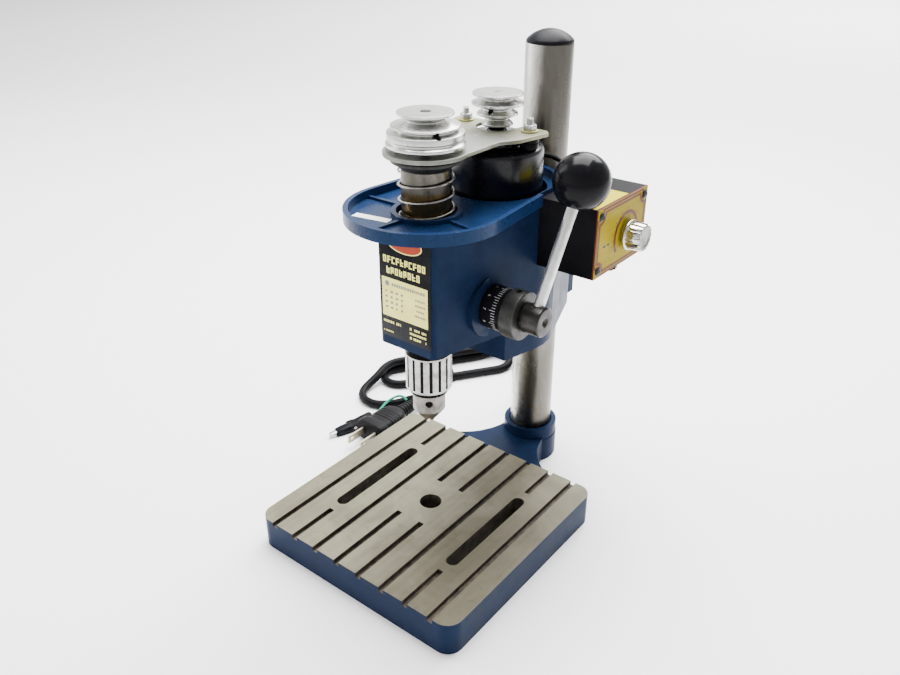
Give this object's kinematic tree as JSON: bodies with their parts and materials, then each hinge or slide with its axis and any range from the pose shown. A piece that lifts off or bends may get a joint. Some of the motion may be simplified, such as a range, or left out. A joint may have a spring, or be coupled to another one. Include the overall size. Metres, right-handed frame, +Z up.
{
  "type": "drill press",
  "caption": "Small bench drill press with a grooved cast table, round column, sliding blue head, rack-fed quill carrying its own motor, keyed chuck, ball-ended feed lever and speed control box.",
  "frame": {"origin": "the spindle axis at the bench, which is the lower end of the table's centre hole", "axes": "+Z up along the spindle; +X towards the feed lever's side; -Y towards the front, +Y towards the column"},
  "size_m": [0.2536, 0.3055, 0.3094],
  "materials": {
    "table": "machined grey top, dark blue painted sides",
    "blue_paint": "glossy deep blue enamel",
    "column_steel": "satin",
    "bright_steel": "bright",
    "dark_steel": "dark satin",
    "black_steel": "blackened, satin",
    "black_plastic": "satin black",
    "black_box": "satin black",
    "label": "printed foil",
    "white_sticker": "paper",
    "yellow_sticker": "paper",
    "gold_panel": "gold anodised",
    "brass": "plain",
    "bronze": "worn bronze coloured",
    "circuit": "varnished board",
    "black_rubber": "soft matt",
    "zinc_plate": "dull zinc",
    "yellow_zinc": "yellow zinc",
    "motor_black": "gloss black",
    "aluminium": "bright turned",
    "chuck_steel": "bright with dark flutes",
    "jaw_steel": "browned",
    "copper": "enamelled windings on a steel core",
    "black_ball": "polished phenolic",
    "chrome": "bright",
    "pin_metal": "dull nickel on brass",
    "green_wire": "green insulation"
  },
  "bodies": {
    "base": {"table_base": "table", "collar_screw": "black_steel", "mains_cord_run": "black_rubber", "mains_cord_hank": "black_rubber", "mains_cord_tail": "black_rubber", "cord_tie": "black_plastic", "plug_body": "black_rubber", "plug_pins": "pin_metal", "earth_wire": "green_wire", "clip_jaw_fixed": "black_plastic"},
    "column": {"column_tube": "column_steel", "column_cap": "black_plastic"},
    "head": {"head_casting": "blue_paint", "label_plate": "label", "tray_sticker": "white_sticker", "clamp_bolt": "black_steel", "clamp_nut": "dark_steel", "feed_bushes": "brass", "feed_scale_ring": "black_steel", "quill_key_screw": "black_steel", "control_box": "black_box", "control_panel": "gold_panel", "panel_screws": "bright_steel", "box_sticker": "yellow_sticker", "fuse_holder": "black_plastic", "speed_control": "bright_steel", "circuit_board": "circuit", "cord_gland": "black_rubber", "motor_lead": "black_rubber", "mains_cord_drop": "black_rubber"},
    "quill": {"quill_tube": "bronze", "quill_bearings": "bright_steel", "bearing_boss": "dark_steel", "motor_plate": "zinc_plate", "motor_can": "motor_black", "motor_end_cap": "motor_black", "motor_magnets": "dark_steel", "plate_nuts": "bright_steel", "plate_washers": "yellow_zinc", "rubber_bushes": "black_rubber", "return_spring": "bright_steel"},
    "spindle": {"spindle_shaft": "bright_steel", "spindle_pulley": "aluminium", "spindle_pulley_screw": "black_steel", "chuck_body": "chuck_steel"},
    "chuck_ring": {"chuck_sleeve": "chuck_steel"},
    "jaw_1": {"chuck_jaw_1": "jaw_steel"},
    "jaw_2": {"chuck_jaw_2": "jaw_steel"},
    "jaw_3": {"chuck_jaw_3": "jaw_steel"},
    "rotor": {"motor_shaft": "bright_steel", "motor_armature": "copper", "motor_pulley": "aluminium", "motor_pulley_screw": "black_steel"},
    "feed": {"feed_shaft": "bright_steel", "feed_hub": "black_steel", "lever_rod": "bright_steel", "ball_knob": "black_ball"},
    "stop_ring": {"depth_stop": "black_steel"},
    "knob": {"speed_knob": "chrome"},
    "clip": {"clip_jaw_moving": "black_plastic"}
  },
  "joints": [
    {"name": "head_swivel", "type": "hinge", "parent": "base", "child": "column", "pos_m": [0, 0.1203, 0], "axis": [0, 0, 1], "range_deg": [-45, 45], "deforming": ["mains_cord_run"]},
    {"name": "head_height", "type": "slide", "parent": "column", "child": "head", "axis": [0, 0, 1], "range_m": [-0.04, 0.07], "deforming": ["mains_cord_drop"]},
    {"name": "quill_feed", "type": "slide", "parent": "head", "child": "quill", "axis": [0, 0, -1], "range_m": [0, 0.022], "stiffness_N_per_m": 500, "springref_m": -0.03, "deforming": ["return_spring", "motor_lead"]},
    {"name": "feed_lever", "type": "hinge", "parent": "head", "child": "feed", "pos_m": [0.06, 0.022, 0.1683], "axis": [1, 0, 0], "range_deg": [0, 141]},
    {"name": "depth_stop_turn", "type": "hinge", "parent": "feed", "child": "stop_ring", "pos_m": [0.049, 0.022, 0.1683], "axis": [1, 0, 0], "range_deg": [-170, 170]},
    {"name": "spindle_spin", "type": "hinge", "parent": "quill", "child": "spindle", "pos_m": [0, 0, 0.2], "axis": [0, 0, 1], "continuous": true},
    {"name": "motor_spin", "type": "hinge", "parent": "quill", "child": "rotor", "pos_m": [0, 0.066, 0.25], "axis": [0, 0, 1], "continuous": true},
    {"name": "chuck_ring_turn", "type": "hinge", "parent": "spindle", "child": "chuck_ring", "pos_m": [0, 0, 0.125], "axis": [0, 0, 1], "range_deg": [0, 1440]},
    {"name": "jaw_1_slide", "type": "slide", "parent": "spindle", "child": "jaw_1", "axis": [0.2556, 0.0405, 0.9659], "range_m": [0, 0.01001]},
    {"name": "jaw_2_slide", "type": "slide", "parent": "spindle", "child": "jaw_2", "axis": [-0.1629, 0.2011, 0.9659], "range_m": [0, 0.01001]},
    {"name": "jaw_3_slide", "type": "slide", "parent": "spindle", "child": "jaw_3", "axis": [-0.0928, -0.2416, 0.9659], "range_m": [0, 0.01001]},
    {"name": "speed_knob_turn", "type": "hinge", "parent": "head", "child": "knob", "pos_m": [0.084, 0.09165, 0.2034], "axis": [1, 0, 0], "range_deg": [0, 270]},
    {"name": "clip_squeeze", "type": "hinge", "parent": "base", "child": "clip", "pos_m": [-0.12466, 0.05261, 0.004], "axis": [0.9659, -0.2588, 0], "range_deg": [-14, 0], "stiffness_Nm_per_rad": 0.02, "springref_deg": 17.19}
  ],
  "couplings": [
    {"joint": "feed_lever", "follows": "quill_feed", "rad_per_m": 111.11},
    {"joint": "jaw_1_slide", "follows": "chuck_ring_turn", "m_per_rad": 0.00039789},
    {"joint": "jaw_2_slide", "follows": "chuck_ring_turn", "m_per_rad": 0.00039789},
    {"joint": "jaw_3_slide", "follows": "chuck_ring_turn", "m_per_rad": 0.00039789}
  ]
}
